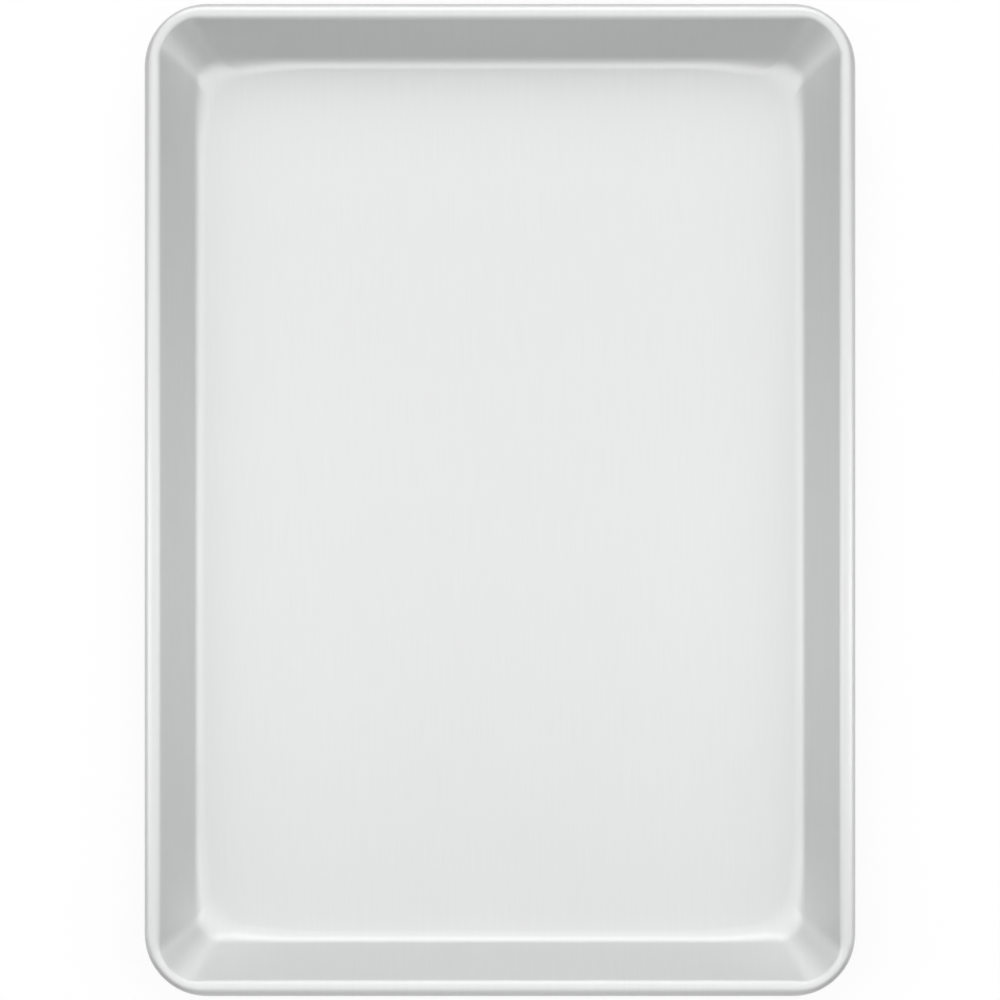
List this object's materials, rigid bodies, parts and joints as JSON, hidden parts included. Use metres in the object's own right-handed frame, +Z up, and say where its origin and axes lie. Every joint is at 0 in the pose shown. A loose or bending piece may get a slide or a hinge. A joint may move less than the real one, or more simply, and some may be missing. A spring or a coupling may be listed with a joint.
{
  "type": "sheet pan",
  "caption": "Shallow rectangular metal pan with a flat floor, leaning walls, rounded corners and a rim bead curled round a stiffening wire, for baking and carrying food.",
  "frame": {"origin": "centre of the floor's underside, on the surface that the pan stands on", "axes": "+Y along the pan's length, +X along its width, +Z up out of its mouth"},
  "size_m": [0.326, 0.455, 0.0266],
  "materials": {
    "satin_aluminium": "satin, rolled lengthwise",
    "galvanised_wire": "galvanised"
  },
  "bodies": {
    "root": {"pan_body": "satin_aluminium", "rim_wire": "galvanised_wire"}
  },
  "joints": []
}
